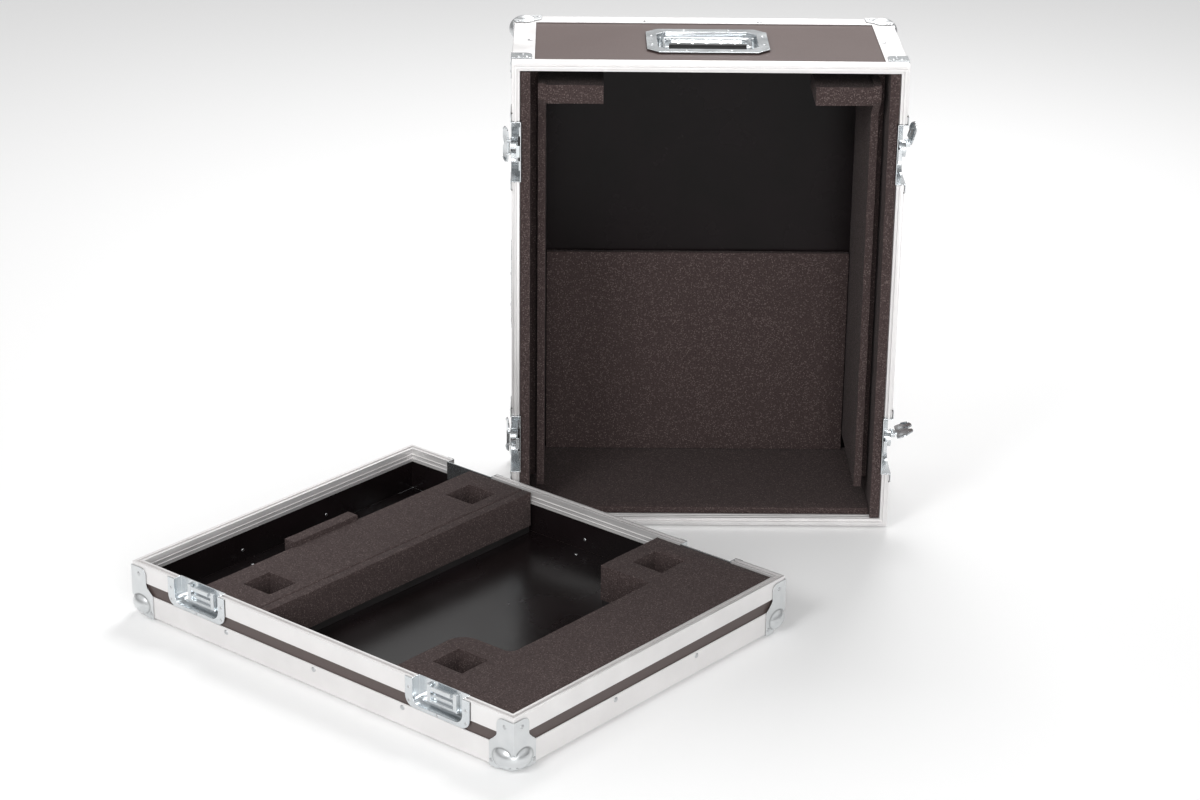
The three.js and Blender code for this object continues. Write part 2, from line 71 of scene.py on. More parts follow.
edgeLow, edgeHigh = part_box("cover_edge_frame")
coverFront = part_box("cover_rim_end_low")[0].y
trayLow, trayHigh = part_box("tray_edge_frame")
case = {
    "halfWidth": (edgeHigh.x - edgeLow.x) / 2,
    "halfLength": (edgeHigh.z - edgeLow.z) / 2,
    "coverDepth": edgeHigh.y - coverFront,
    "trayDepth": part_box("tray_rim_end_low")[1].z - trayLow.z,
    "boardInside": 8.8 * mm,
    "rimLeg": 25 * mm,
    "latchFromEnd": 120 * mm,
    "trayTurn": math.radians(-40.7 - 90),
}
halfWidth = case["halfWidth"]
halfLength = case["halfLength"]
latchY = halfLength - case["latchFromEnd"]
turnCos = math.cos(case["trayTurn"])
turnSin = math.sin(case["trayTurn"])
trayHalf = axesMatrix(
    ((trayLow.x + trayHigh.x) / 2, (trayLow.y + trayHigh.y) / 2, trayLow.z),
    (turnCos, turnSin, 0), (-turnSin, turnCos, 0), (0, 0, 1))
coverHalf = axesMatrix(
    ((edgeLow.x + edgeHigh.x) / 2, edgeHigh.y, (edgeLow.z + edgeHigh.z) / 2),
    (1, 0, 0), (0, 0, 1), (0, -1, 0))
halves = {"tray": trayHalf, "cover": coverHalf}
depths = {"tray": case["trayDepth"], "cover": case["coverDepth"]}


def latchFace(half, sign, y):
    # x runs along the rim, y up to it from the rim's top, z out of the case
    origin = (sign * halfWidth, y, depths[half])
    return halves[half] @ axesMatrix(origin, (0, sign, 0), (0, 0, 1), (sign, 0, 0))


def handleFace(place):
    # x runs along the grip, y towards the hinge, z out of the case
    depth = case["coverDepth"]
    if place == "top":
        return coverHalf @ axesMatrix((0, halfLength, depth - 122 * mm), (1, 0, 0), (0, 0, -1), (0, 1, 0))
    sign = -1 if place == "left" else 1
    return coverHalf @ axesMatrix((sign * halfWidth, 0, depth / 2), (0, 0, -sign), (0, 1, 0), (sign, 0, 0))


# ---- camera ----

camera = {
    "fromCorner": (68.66 * mm, -3694.92 * mm),  # from the cover's front left edge
    "height": 1663.4 * mm,
    "heading": math.radians(0.8014),
    "pitch": math.radians(21.721),
    "roll": math.radians(0.694),
    "lens": 87.764,
}


def addCamera():
    heading, pitch, roll = camera["heading"], camera["pitch"], camera["roll"]
    forward = np.array([
        math.sin(heading) * math.cos(pitch), math.cos(heading) * math.cos(pitch), -math.sin(pitch)])
    right = np.array([math.cos(heading), -math.sin(heading), 0])
    up = np.cross(right, forward)
    rolledRight = math.cos(roll) * right + math.sin(roll) * up
    rolledUp = -math.sin(roll) * right + math.cos(roll) * up
    place = (edgeLow.x + camera["fromCorner"][0], coverFront + camera["fromCorner"][1], camera["height"])
    data = bpy.data.cameras.new("photoCamera")
    data.lens = camera["lens"]
    data.sensor_width = 36
    data.clip_end = 50
    holder = bpy.data.objects.new("photoCamera", data)
    holder.matrix_world = Matrix(axesMatrix(place, rolledRight, rolledUp, -forward).tolist())
    bpy.context.scene.collection.objects.link(holder)
    bpy.context.scene.camera = holder


addCamera()
print("camera set")

# ---- shared shader groups ----


def newGroup(name, inputs, outputs):
    group = bpy.data.node_groups.new(name, "ShaderNodeTree")
    for label, kind, value in inputs:
        socket = group.interface.new_socket(label, in_out="INPUT", socket_type=kind)
        if value is not None:
            socket.default_value = value
    for label, kind in outputs:
        group.interface.new_socket(label, in_out="OUTPUT", socket_type=kind)
    start = group.nodes.new("NodeGroupInput")
    end = group.nodes.new("NodeGroupOutput")
    return group, start, end


def mathNode(tree, operation, first, second=None, third=None):
    node = tree.nodes.new("ShaderNodeMath")
    node.operation = operation
    for socket, value in zip(node.inputs, (first, second, third)):
        if value is None:
            continue
        if isinstance(value, (int, float)):
            socket.default_value = value
        else:
            tree.links.new(value, socket)
    return node.outputs[0]


def makeSpeckle():
    # light dots: cells of a Voronoi pattern whose random value is high, seen only near their centres
    group, start, end = newGroup("speckle", [
        ("Vector", "NodeSocketVector", None), ("Scale", "NodeSocketFloat", 500.0),
        ("Share", "NodeSocketFloat", 0.3), ("Radius", "NodeSocketFloat", 0.4)],
        [("Mask", "NodeSocketFloat"), ("Height", "NodeSocketFloat")])
    cells = group.nodes.new("ShaderNodeTexVoronoi")
    split = group.nodes.new("ShaderNodeSeparateColor")
    group.links.new(start.outputs["Vector"], cells.inputs["Vector"])
    group.links.new(start.outputs["Scale"], cells.inputs["Scale"])
    group.links.new(cells.outputs["Color"], split.inputs[0])
    level = mathNode(group, "SUBTRACT", 1.0, start.outputs["Share"])
    chosen = mathNode(group, "GREATER_THAN", split.outputs[0], level)
    near = mathNode(group, "DIVIDE", cells.outputs["Distance"], start.outputs["Radius"])
    dot = mathNode(group, "SUBTRACT", 1.0, near)
    dot = mathNode(group, "MAXIMUM", dot, 0.0)
    bright = mathNode(group, "MULTIPLY", chosen, dot)
    group.links.new(mathNode(group, "MULTIPLY", bright, split.outputs[1]), end.inputs["Mask"])
    group.links.new(cells.outputs["Distance"], end.inputs["Height"])
    return group


def makeWear():
    # smudges and fine grain: a broad noise and a fine one, each spread over 0 to 1
    group, start, end = newGroup("wear", [
        ("Vector", "NodeSocketVector", None), ("Broad", "NodeSocketFloat", 14.0),
        ("Fine", "NodeSocketFloat", 900.0)],
        [("Smudge", "NodeSocketFloat"), ("Grain", "NodeSocketFloat")])
    for label, output, detail in (("Broad", "Smudge", 6.0), ("Fine", "Grain", 3.0)):
        pattern = group.nodes.new("ShaderNodeTexNoise")
        pattern.inputs["Detail"].default_value = detail
        group.links.new(start.outputs["Vector"], pattern.inputs["Vector"])
        group.links.new(start.outputs[label], pattern.inputs["Scale"])
        spread = group.nodes.new("ShaderNodeMapRange")
        spread.inputs["From Min"].default_value = 0.3
        spread.inputs["From Max"].default_value = 0.7
        group.links.new(pattern.outputs["Fac"], spread.inputs["Value"])
        group.links.new(spread.outputs["Result"], end.inputs[output])
    return group


def makeInside():
    # 1 where a point of a half's own frame lies on or within the inner faces of its boards
    group, start, end = newGroup("insideOfCase", [
        ("Vector", "NodeSocketVector", None), ("Half Width", "NodeSocketFloat", 0.25),
        ("Half Length", "NodeSocketFloat", 0.32), ("Floor", "NodeSocketFloat", 0.009)],
        [("Mask", "NodeSocketFloat")])
    split = group.nodes.new("ShaderNodeSeparateXYZ")
    group.links.new(start.outputs["Vector"], split.inputs[0])
    across = mathNode(group, "ABSOLUTE", split.outputs[0])
    along = mathNode(group, "ABSOLUTE", split.outputs[1])
    inX = mathNode(group, "LESS_THAN", across, start.outputs["Half Width"])
    inY = mathNode(group, "LESS_THAN", along, start.outputs["Half Length"])
    inZ = mathNode(group, "GREATER_THAN", split.outputs[2], start.outputs["Floor"])
    both = mathNode(group, "MULTIPLY", inX, inY)
    group.links.new(mathNode(group, "MULTIPLY", both, inZ), end.inputs["Mask"])
    return group


speckle = makeSpeckle()
wear = makeWear()
insideOfCase = makeInside()

# ---- materials ----


def newMaterial(name, roughness, metallic=0.0):
    material = bpy.data.materials.new(name)
    material.use_nodes = True
    tree = material.node_tree
    shader = tree.nodes["Principled BSDF"]
    shader.inputs["Roughness"].default_value = roughness
    shader.inputs["Metallic"].default_value = metallic
    place = tree.nodes.new("ShaderNodeTexCoord").outputs["Object"]
    return material, tree, shader, place


def placeGroup(tree, group, vector, **values):
    node = tree.nodes.new("ShaderNodeGroup")
    node.node_tree = group
    tree.links.new(vector, node.inputs["Vector"])
    for label, value in values.items():
        node.inputs[label.replace("_", " ")].default_value = value
    return node.outputs


def mixColours(tree, amount, first, second):
    node = tree.nodes.new("ShaderNodeMix")
    node.data_type = "RGBA"
    tree.links.new(amount, node.inputs[0])
    for socket, value in ((node.inputs[6], first), (node.inputs[7], second)):
        if isinstance(value, (tuple, list)):
            socket.default_value = (*value, 1)
        else:
            tree.links.new(value, socket)
    return node.outputs[2]


def spreadValue(tree, amount, low, high):
    node = tree.nodes.new("ShaderNodeMapRange")
    tree.links.new(amount, node.inputs["Value"])
    node.inputs["To Min"].default_value = low
    node.inputs["To Max"].default_value = high
    return node.outputs["Result"]


def bumpFrom(tree, shader, height, strength, distance):
    node = tree.nodes.new("ShaderNodeBump")
    node.inputs["Strength"].default_value = strength
    node.inputs["Distance"].default_value = distance
    tree.links.new(height, node.inputs["Height"])
    tree.links.new(node.outputs["Normal"], shader.inputs["Normal"])


laminate = {
    "brown": (0.074, 0.054, 0.050),
    "brownPale": (0.094, 0.070, 0.066),
    "black": (0.0052, 0.0040, 0.0038),
    "blackPale": (0.0095, 0.0060, 0.0068),
}


def laminateMaterial(name, half, gloss, shade):
    # brown outside and black inside, told apart by the point's place in the half's own frame
    material, tree, shader, place = newMaterial(name, 0.3)
    shader.inputs["Specular IOR Level"].default_value = gloss
    intoHalf = tree.nodes.new("ShaderNodeMapping")
    back = Matrix(halves[half].tolist()).inverted()
    intoHalf.inputs["Location"].default_value = back.to_translation()
    intoHalf.inputs["Rotation"].default_value = back.to_euler()
    tree.links.new(place, intoHalf.inputs["Vector"])
    margin = 0.1 * mm
    inside = placeGroup(
        tree, insideOfCase, intoHalf.outputs[0], Half_Width=halfWidth - case["boardInside"] + margin,
        Half_Length=halfLength - case["boardInside"] + margin, Floor=case["boardInside"] - margin)["Mask"]
    marks = placeGroup(tree, wear, place, Broad=9.0, Fine=1400.0)
    # the brown is scaled by shade; a lift above 1 paints a sheen into it
    brown = mixColours(
        tree, marks["Grain"],
        [c * shade for c in laminate["brown"]], [c * shade for c in laminate["brownPale"]])
    black = mixColours(tree, marks["Smudge"], laminate["black"], laminate["blackPale"])
    tree.links.new(mixColours(tree, inside, brown, black), shader.inputs["Base Color"])
    rough = spreadValue(tree, marks["Smudge"], 0.34, 0.42)
    glossy = mathNode(tree, "MULTIPLY", inside, 0.12)
    tree.links.new(mathNode(tree, "SUBTRACT", rough, glossy), shader.inputs["Roughness"])
    bumpFrom(tree, shader, marks["Grain"], 0.03, 0.1 * mm)
    return material


def metalMaterial(name, dark, light, roughness, spread, metallic, broad, fine, bump):
    material, tree, shader, place = newMaterial(name, roughness, metallic)
    marks = placeGroup(tree, wear, place, Broad=broad, Fine=fine)
    tree.links.new(mixColours(tree, marks["Smudge"], dark, light), shader.inputs["Base Color"])
    mixed = mathNode(tree, "MULTIPLY_ADD", marks["Smudge"], spread, roughness - spread / 2)
    tree.links.new(mixed, shader.inputs["Roughness"])
    bumpFrom(tree, shader, marks["Grain"], bump, 0.1 * mm)
    return material


def cornerMaterial():
    # satin zinc plate; the mesh carries a mask of the crease round the ball, where a dark line of painted
    # shade is mixed in
    material, tree, shader, place = newMaterial("cornerSteel", 0.34, 0.9)
    marks = placeGroup(tree, wear, place, Broad=50.0, Fine=1300.0)
    crease = tree.nodes.new("ShaderNodeAttribute")
    crease.attribute_name = "crease"
    plainZinc = mixColours(tree, marks["Smudge"], (0.66, 0.68, 0.69), (0.74, 0.755, 0.76))
    # the crease mask pulls the zinc towards dark grey: painted shade
    tree.links.new(
        mixColours(tree, crease.outputs["Fac"], plainZinc, (0.16, 0.165, 0.17)), shader.inputs["Base Color"])
    tree.links.new(spreadValue(tree, marks["Smudge"], 0.30, 0.40), shader.inputs["Roughness"])
    bumpFrom(tree, shader, marks["Grain"], 0.05, 0.1 * mm)
    return material


foamLook = {
    "dark": (0.036, 0.0250, 0.0240),
    "mid": (0.078, 0.0555, 0.0535),
    "dot": (0.25, 0.195, 0.185),
}


def foamMaterial(name, shade):
    # a dark open-cell ground, lighter cell walls, and scattered pale dots
    material, tree, shader, place = newMaterial(name, 0.95)
    marks = placeGroup(tree, wear, place, Broad=60.0, Fine=640.0)
    dots = placeGroup(tree, speckle, place, Scale=620.0, Share=0.45, Radius=0.6)
    pores = placeGroup(tree, speckle, place, Scale=900.0, Share=0.5, Radius=0.6)
    ground = mixColours(
        tree, marks["Grain"], [c * shade for c in foamLook["dark"]], [c * shade for c in foamLook["mid"]])
    tree.links.new(
        mixColours(tree, dots["Mask"], ground, [c * shade for c in foamLook["dot"]]),
        shader.inputs["Base Color"])
    rough = spreadValue(tree, marks["Smudge"], 0.88, 1.0)
    tree.links.new(rough, shader.inputs["Roughness"])
    shader.inputs["Specular IOR Level"].default_value = 0.1
    shader.inputs["Sheen Weight"].default_value = 0.04
    shader.inputs["Sheen Roughness"].default_value = 0.6
    bumpFrom(tree, shader, pores["Height"], 0.7, 0.5 * mm)
    return material


def rubberMaterial(name, colour, pale, roughness):
    material, tree, shader, place = newMaterial(name, roughness)
    marks = placeGroup(tree, wear, place, Broad=30.0, Fine=1800.0)
    tree.links.new(mixColours(tree, marks["Smudge"], colour, pale), shader.inputs["Base Color"])
    tree.links.new(
        spreadValue(tree, marks["Smudge"], roughness - 0.06, roughness + 0.08), shader.inputs["Roughness"])
    bumpFrom(tree, shader, marks["Grain"], 0.3, 0.1 * mm)
    return material


finishes = {
    "trayLaminate": laminateMaterial("trayLaminate", "tray", 0.45, 1.0),
    # the cover's brown is lifted 1.8 times over the tray's: painted sheen
    "coverLaminateSheen": laminateMaterial("coverLaminateSheen", "cover", 0.12, 1.8),
    "aluminium": metalMaterial(
        "satinAluminium", (0.78, 0.765, 0.76), (0.84, 0.825, 0.82), 0.40, 0.10, 0.5, 22.0, 1600.0, 0.15),
    "zinc": metalMaterial(
        "brightZinc", (0.66, 0.69, 0.71), (0.73, 0.755, 0.77), 0.22, 0.07, 0.95, 40.0, 1300.0, 0.04),
    "rivet": metalMaterial(
        "rivetSteel", (0.52, 0.53, 0.54), (0.62, 0.63, 0.64), 0.3, 0.1, 0.95, 200.0, 1500.0, 0.05),
    "corner": cornerMaterial(),
    "foam": foamMaterial("speckledFoam", 1.0),
    # black for the foam's base and the saw cuts, and for the painted shade block behind each latch hub
    "riser": rubberMaterial("blackRiserAndPaintedShade", (0.008, 0.007, 0.007), (0.014, 0.012, 0.012), 0.6),
    "gripRubber": rubberMaterial("gripRubber", (0.008, 0.008, 0.009), (0.014, 0.014, 0.015), 0.55),
}
print("materials made")

# ---- making meshes ----


def gridFaces(rows, columns, wrapColumns=False):
    # each quad joins a grid point to its right, upper right and upper neighbours
    row = np.arange(rows - 1)[:, None]
    column = np.arange(columns if wrapColumns else columns - 1)[None, :]
    after = (column + 1) % columns
    corners = (
        row * columns + column, row * columns + after,
        (row + 1) * columns + after, (row + 1) * columns + column)
    return np.stack(np.broadcast_arrays(*corners), axis=-1).reshape(-1, 4)


def tidyNormals(mesh, weld=1e-6):
    work = bmesh.new()
    work.from_mesh(mesh)
    bmesh.ops.remove_doubles(work, verts=work.verts, dist=weld)
    bmesh.ops.recalc_face_normals(work, faces=work.faces)
    work.to_mesh(mesh)
    work.free()


def finishPiece(piece, finish, body, replaced=(), sharp=35):
    mesh = piece.data
    mesh.materials.clear()
    mesh.materials.append(finishes[finish])
    mesh.shade_smooth()
    mesh.set_sharp_from_angle(angle=math.radians(sharp))
    if piece.name not in bpy.context.scene.collection.objects:
        bpy.context.scene.collection.objects.link(piece)
    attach(piece, body)
    if replaced:
        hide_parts(*replaced)
    return piece


def addSurface(name, points, faces, finish, body, replaced=(), sharp=35):
    mesh = bpy.data.meshes.new(name)
    mesh.from_pydata(np.asarray(points).tolist(), [], np.asarray(faces).tolist())
    tidyNormals(mesh)
    piece = bpy.data.objects.new(name, mesh)
    return finishPiece(piece, finish, body, replaced, sharp)


def mergedWork(node):
    # a welded copy of a CAD node's mesh, with its flat triangles joined
    work = bmesh.new()
    work.from_mesh(nodes[node].data)
    bmesh.ops.remove_doubles(work, verts=work.verts, dist=2e-6)
    bmesh.ops.dissolve_limit(work, angle_limit=math.radians(0.5), verts=work.verts, edges=work.edges)
    return work


def addBevel(piece, width, segments, angle=35):
    bevel = piece.modifiers.new("softEdges", "BEVEL")
    bevel.width = width
    bevel.segments = segments
    bevel.limit_method = "ANGLE"
    bevel.angle_limit = math.radians(angle)
    bevel.harden_normals = True
    return bevel


def softened(node, finish, width, segments=2, angle=35):
    # the CAD shape with its sharp edges rounded off
    work = mergedWork(node)
    mesh = bpy.data.meshes.new(node + "_finished")
    work.to_mesh(mesh)
    work.free()
    piece = bpy.data.objects.new(node + "_finished", mesh)
    finishPiece(piece, finish, bodyOf[node], (node,))
    addBevel(piece, width, segments, angle)
    return piece


boxFaces = np.array([[0, 1, 3, 2], [4, 6, 7, 5], [0, 4, 5, 1], [2, 3, 7, 6], [0, 2, 6, 4], [1, 5, 7, 3]])


def boxPoints(low, high):
    pick = np.array([[i, j, k] for i in (0, 1) for j in (0, 1) for k in (0, 1)])
    return np.where(pick == 0, low, high)


def addBlock(name, low, high, matrix, finish, body, slotName, rounding=0.4 * mm):
    points = moved(boxPoints(np.array(low) * mm, np.array(high) * mm), matrix)
    piece = addSurface(name, points, boxFaces, finish, body)
    addBevel(piece, rounding, 2, 40)
    return piece


# ---- boards and extrusions ----

for node, holder in nodes.items():
    if "_wall_" in node or node in ("tray_floor", "cover_back"):
        holder.data.materials.clear()
        holder.data.materials.append(finishes["trayLaminate" if node.startswith("tray") else "coverLaminateSheen"])
for node in nodes:
    if "_rim_" in node:
        softened(node, "aluminium", 0.35 * mm)
    if node.endswith("_edge_frame"):
        softened(node, "aluminium", 0.7 * mm)
print("boards and extrusions finished")

# ---- foam ----

foamCut = {
    "spacing": 22 * mm,
    "wander": 0.2 * mm,
    "rounding": 0.9 * mm,
    "riserTop": 19 * mm,
    "riserInset": 1.4 * mm,
    "creaseFromEdge": 15 * mm,
    "creaseDepth": 1.6 * mm,
    "innerLayer": (215 * mm, 226.5 * mm),
    "blockFoot": 269 * mm,
    "pressFrom": 150 * mm,
    "innerFront": 232 * mm,
    "innerBack": 208 * mm,
}


def localMatrix(half):
    return Matrix(halves[half].tolist())


def sliceAt(work, matrix, axis, place, clearInner=False, clearOuter=False):
    # cuts across one axis of the half's own frame
    normal = matrix.to_3x3().col[axis]
    point = matrix.to_translation() + normal * place
    geometry = list(work.verts) + list(work.edges) + list(work.faces)
    bmesh.ops.bisect_plane(
        work, geom=geometry, dist=1e-7, plane_co=point, plane_no=normal,
        clear_inner=clearInner, clear_outer=clearOuter)


def closeHoles(work):
    rims = [edge for edge in work.edges if edge.is_boundary]
    bmesh.ops.triangle_fill(work, edges=rims, use_beauty=True)
    bmesh.ops.recalc_face_normals(work, faces=work.faces)


def wander(points, amount):
    # a slow uneven drift: three crossed sine waves of different lengths for each direction
    waves = np.array([[61.0, 37.0, 83.0], [47.0, 71.0, 29.0], [89.0, 53.0, 41.0]])
    phase = points @ waves.T
    drift = np.stack([
        np.sin(phase[:, 0] + 0.7) + 0.5 * np.sin(2.7 * phase[:, 1]),
        np.sin(phase[:, 1] + 1.9) + 0.5 * np.sin(2.3 * phase[:, 2]),
        np.sin(phase[:, 2] + 2.6) + 0.5 * np.sin(3.1 * phase[:, 0])], axis=1)
    return drift * amount / 1.5


def meshPoints(mesh):
    points = np.zeros(len(mesh.vertices) * 3)
    mesh.vertices.foreach_get("co", points)
    return points.reshape(-1, 3)


def setPoints(mesh, points):
    mesh.vertices.foreach_set("co", np.ascontiguousarray(points, float).ravel())
    mesh.update()


def sliceEvenly(work, half, axes=(0, 1, 2)):
    matrix = localMatrix(half)
    back = matrix.inverted()
    corners = np.array([back @ vert.co for vert in work.verts])
    for axis in axes:
        low, high = corners[:, axis].min(), corners[:, axis].max()
        count = max(2, int(round((high - low) / foamCut["spacing"])))
        for place in np.linspace(low, high, count + 1)[1:-1]:
            sliceAt(work, matrix, axis, place + 0.13 * mm)


def setBackInnerLayer(local):
    # the linings' inner layer is pressed together along the depth, so its front edge lies in shade
    across = np.abs(local[:, 0])
    low, front, back = foamCut["pressFrom"], foamCut["innerFront"], foamCut["innerBack"]
    inner = (across > foamCut["innerLayer"][0]) & (across < foamCut["innerLayer"][1])
    inner &= (local[:, 1] < foamCut["blockFoot"]) & (local[:, 2] > low)
    local[inner, 2] = low + (local[inner, 2] - low) * (back - low) / (front - low)
    return local


def foamPiece(work, name, half, node, body, crease=None):
    sliceEvenly(work, half)
    matrix = localMatrix(half)
    if crease is not None:
        for offset in (-1.6 * mm, 0, 1.6 * mm):
            sliceAt(work, matrix, 1, crease + offset)
    mesh = bpy.data.meshes.new(name)
    work.to_mesh(mesh)
    work.free()
    points = meshPoints(mesh)
    local = moved(points, np.linalg.inv(halves[half]))
    if crease is not None:
        top = local[:, 2].max()
        onTop = np.abs(local[:, 2] - (top - crestDrop)) < 0.2 * mm
        onLine = np.abs(local[:, 1] - crease) < 0.1 * mm
        points[onTop & onLine] -= np.array([0, 0, foamCut["creaseDepth"]])
    if node in ("cover_foam_left", "cover_foam_right"):
        points = moved(setBackInnerLayer(local), halves[half])
    setPoints(mesh, points + wander(points, foamCut["wander"]))
    piece = bpy.data.objects.new(name, mesh)
    finishPiece(piece, "foam", body, (node,), sharp=60)
    addBevel(piece, foamCut["rounding"], 3, 45)
    return piece


crestDrop = 7 * mm  # the bar's fin stands this much higher than its top


def addTrayFoam(node, crease=None):
    upper = mergedWork(node)
    sliceAt(upper, localMatrix("tray"), 2, foamCut["riserTop"], clearInner=True)
    closeHoles(upper)
    foamPiece(upper, node + "_cut", "tray", node, "tray", crease)
    lower = mergedWork(node)
    sliceAt(lower, localMatrix("tray"), 2, foamCut["riserTop"] - 0.3 * mm, clearOuter=True)
    closeHoles(lower)
    mesh = bpy.data.meshes.new(node + "_riser")
    lower.to_mesh(mesh)
    lower.free()
    points = meshPoints(mesh)
    normals = np.zeros(points.size)
    mesh.vertices.foreach_get("normal", normals)
    inwards = normals.reshape(-1, 3) * [1, 1, 0]
    lengths = np.maximum(np.linalg.norm(inwards, axis=1, keepdims=True), 1e-6)
    setPoints(mesh, points - inwards / lengths * foamCut["riserInset"] * 1.4)
    piece = bpy.data.objects.new(node + "_riser", mesh)
    finishPiece(piece, "riser", "tray")


barHigh = -93 * mm
addTrayFoam("tray_foam_bar", crease=barHigh - foamCut["creaseFromEdge"])
addTrayFoam("tray_foam_block")
for node in ("cover_foam_left", "cover_foam_right", "cover_foam_bottom", "cover_foam_back"):
    foamPiece(mergedWork(node), node + "_cut", "cover", node, "cover")
print("foam cut")

# ---- rivets ----

rivet = {"radius": 3.5 * mm, "height": 1.3 * mm, "sides": 12, "rings": 4}


def domes(places, normals, radius, height, sides, rings):
    # a dome is a quarter ellipse turned about its normal; its foot sits just under the surface
    places = np.asarray(places, float)
    normals = np.asarray(normals, float)
    helper = np.where(np.abs(normals[:, 2:3]) > 0.9, [[1.0, 0, 0]], [[0, 0, 1.0]])
    across = np.cross(helper, normals)
    across /= np.linalg.norm(across, axis=1, keepdims=True)
    other = np.cross(normals, across)
    rise = np.linspace(0, np.pi / 2, rings)
    ringRadius = np.concatenate([[radius], radius * np.cos(rise)])
    ringHeight = np.concatenate([[-0.3 * mm], height * np.sin(rise)])
    turn = np.arange(sides) * 2 * np.pi / sides
    offsets = (
        across[:, None, None, :] * (ringRadius[:, None] * np.cos(turn))[None, :, :, None]
        + other[:, None, None, :] * (ringRadius[:, None] * np.sin(turn))[None, :, :, None]
        + normals[:, None, None, :]
        * np.broadcast_to(ringHeight[:, None], (len(ringRadius), sides))[None, :, :, None])
    points = places[:, None, None, :] + offsets
    count = len(ringRadius) * sides
    single = gridFaces(len(ringRadius), sides, wrapColumns=True)
    faces = (single[None] + (np.arange(len(places)) * count)[:, None, None]).reshape(-1, 4)
    return points.reshape(-1, 3), faces, count, sides


def addRivets(name, half, body, spots, scale=1.0, finish="rivet"):
    # spots are pairs of a place and an outward normal in the half's own frame
    matrix = halves[half]
    places = moved([spot[0] for spot in spots], matrix)
    normals = np.array([spot[1] for spot in spots], float) @ matrix[:3, :3].T
    points, faces, count, sides = domes(
        places, normals, rivet["radius"] * scale, rivet["height"] * scale, rivet["sides"], rivet["rings"])
    feet = [list(range(i * count, i * count + sides)) for i in range(len(places))]
    mesh = bpy.data.meshes.new(name)
    mesh.from_pydata(points.tolist(), [], faces.tolist() + feet)
    tidyNormals(mesh, 1e-6)
    piece = bpy.data.objects.new(name, mesh)
    return finishPiece(piece, finish, body, sharp=50)


def edgeRivets(half):
    # along every extrusion of the closed face, on both of its legs
    inset = 24 * mm
    spots = []
    for sign in (-1, 1):
        for y in (-155 * mm, 0, 150 * mm):
            spots.append(((sign * halfWidth, y, inset), (sign, 0, 0)))
            spots.append(((sign * (halfWidth - inset), y, 0), (0, 0, -1)))
        for x in (-80 * mm, 76 * mm):
            spots.append(((x, sign * halfLength, inset), (0, sign, 0)))
            spots.append(((x, sign * (halfLength - inset), 0), (0, 0, -1)))
    return spots


def depthRivets():
    # half way up the extrusions at the cover's four corners
    inset = 23 * mm
    spots = []
    for signX in (-1, 1):
        for signY in (-1, 1):
            for z in (128 * mm,):
                spots.append(((signX * (halfWidth - inset), signY * halfLength, z), (0, signY, 0)))
                spots.append(((signX * halfWidth, signY * (halfLength - inset), z), (signX, 0, 0)))
    return spots


def innerTails(half):
    # the rivets' ends show inside, where the extrusions are fixed
    inner = case["boardInside"]
    spots = []
    for sign in (-1, 1):
        for y in (-155 * mm, 0, 150 * mm):
            spots.append(((sign * (halfWidth - inner), y, 24 * mm), (-sign, 0, 0)))
            spots.append(((sign * (halfWidth - 26 * mm), y, inner), (0, 0, 1)))
        for x in (-80 * mm, 76 * mm):
            spots.append(((x, sign * (halfLength - inner), 24 * mm), (0, -sign, 0)))
            spots.append(((x, sign * (halfLength - 26 * mm), inner), (0, 0, 1)))
    return spots


addRivets("tray_edge_rivets", "tray", "tray", edgeRivets("tray"))
addRivets("cover_edge_rivets", "cover", "cover", edgeRivets("cover") + depthRivets())
addRivets("tray_rivet_tails", "tray", "tray", innerTails("tray"), 0.7)
print("rivets set")

# ---- ball corners ----

corner = {
    "trayBall": ((23.5 * mm, 23.5 * mm, 19 * mm), (15.5 * mm, 15.5 * mm, 14.2 * mm)),  # radii and centre
    "coverBall": ((22 * mm, 18.5 * mm, 18.5 * mm), (14.5 * mm, 13.7 * mm, 13.7 * mm)),
    "skin": 1.5 * mm,
    "underside": 0.3 * mm,
    "ballFoot": 24 * mm,
    "seat": 8.2 * mm,
    "voxel": 0.75 * mm,
    "rounds": 3,
}


def plateSlab(outline, axis):
    # a flat plate on one face of the case corner: its outline, drawn in the two other axes,
    # is lifted off the face
    flat = np.asarray(outline, float)
    count = len(flat)
    levels = (-corner["skin"], -corner["underside"])
    others = [i for i in range(3) if i != axis]
    points = np.zeros((2, count, 3))
    for i, level in enumerate(levels):
        points[i, :, axis] = level
        points[i, :, others[0]] = flat[:, 0]
        points[i, :, others[1]] = flat[:, 1]
    walls = [[i, (i + 1) % count, count + (i + 1) % count, count + i] for i in range(count)]
    return points.reshape(-1, 3), [list(range(count)), list(range(count, 2 * count))] + walls


def arcPoints(centre, radius, start, end, steps):
    turn = np.radians(np.linspace(start, end, steps))
    return [(centre[0] + radius * math.cos(t), centre[1] + radius * math.sin(t)) for t in turn]


def simplePlate(long):
    # a plate that follows both edges, with a scalloped inner corner and an opening for the ball
    edge = -corner["skin"]
    foot = corner["ballFoot"]
    rounding = 4 * mm
    cut = 19 * mm
    return [
        (edge, foot), (foot, edge), (long - rounding, edge),
        *arcPoints((long - rounding, edge + rounding), rounding, -90, 0, 4), (long, cut - 4 * mm),
        *arcPoints((long - 7 * mm, cut - 2 * mm), 6 * mm, 10, 60, 3),
        *arcPoints((cut + 5 * mm, cut + 5 * mm), 5 * mm, 20, 70, 3),
        *arcPoints((cut - 2 * mm, long - 7 * mm), 6 * mm, 30, 80, 3), (cut - 4 * mm, long),
        *arcPoints((edge + rounding, long - rounding), rounding, 0, 90, 4)]


